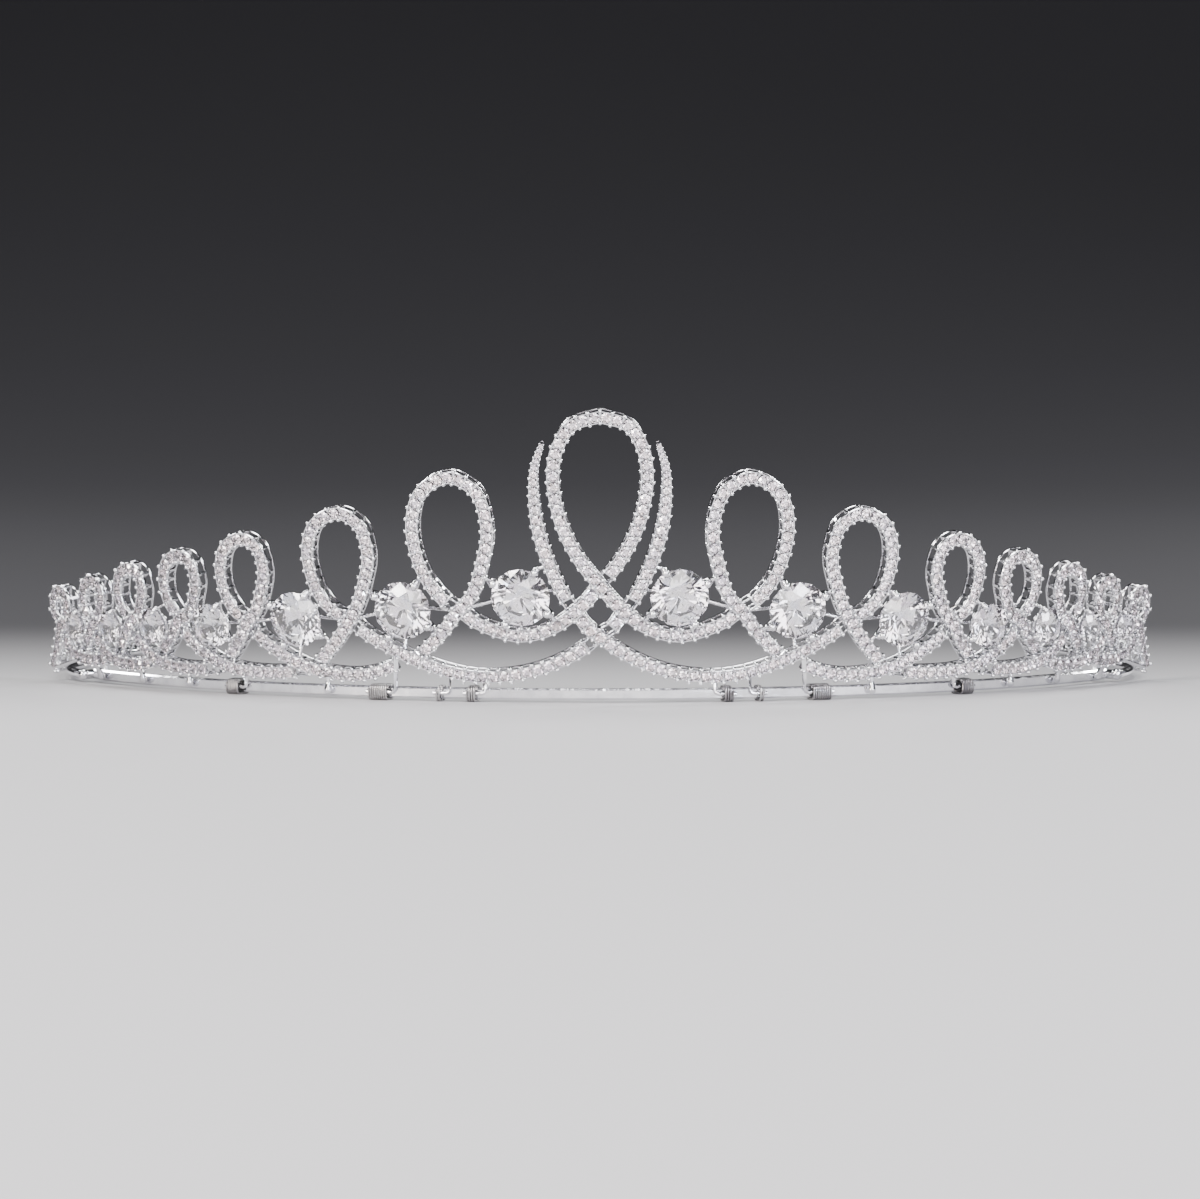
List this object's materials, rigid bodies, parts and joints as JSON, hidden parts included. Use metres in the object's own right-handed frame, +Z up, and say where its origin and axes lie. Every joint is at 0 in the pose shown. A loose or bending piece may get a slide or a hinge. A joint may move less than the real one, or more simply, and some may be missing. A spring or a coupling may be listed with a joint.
{
  "type": "princess crown",
  "caption": "Bridal tiara: a leaning wall of looped ribbons and round stones in prong settings, tied to a bent headband with hairpin eyelets.",
  "frame": {"origin": "On the resting plane, under the middle of the bounding box: z = 0 is the flat surface that the tiara rests on.", "axes": "+X to the right as the wearer's viewer sees it from the front, -Y to the front where the openwork stands, +Y to the hairpin eyelets at the back, +Z up."},
  "size_m": [0.1554, 0.1076, 0.0401],
  "materials": {
    "openwork_metal": "polished, set with small clear stones",
    "headband_metal": "polished",
    "lashing_metal": "fine wound wire",
    "stones": "polished clear facets"
  },
  "bodies": {
    "root": {"openwork": "openwork_metal", "headband": "headband_metal", "stone_r1": "stones", "stone_r2": "stones", "stone_r3": "stones", "stone_r4": "stones", "stone_r5": "stones", "stone_r6": "stones", "stone_r7": "stones", "stone_l1": "stones", "stone_l2": "stones", "stone_l3": "stones", "stone_l4": "stones", "stone_l5": "stones", "stone_l6": "stones", "stone_l7": "stones", "lashing_r1": "lashing_metal", "lashing_r2": "lashing_metal", "lashing_r3": "lashing_metal", "lashing_r4": "lashing_metal", "lashing_l1": "lashing_metal", "lashing_l2": "lashing_metal", "lashing_l3": "lashing_metal", "lashing_l4": "lashing_metal"}
  },
  "joints": []
}
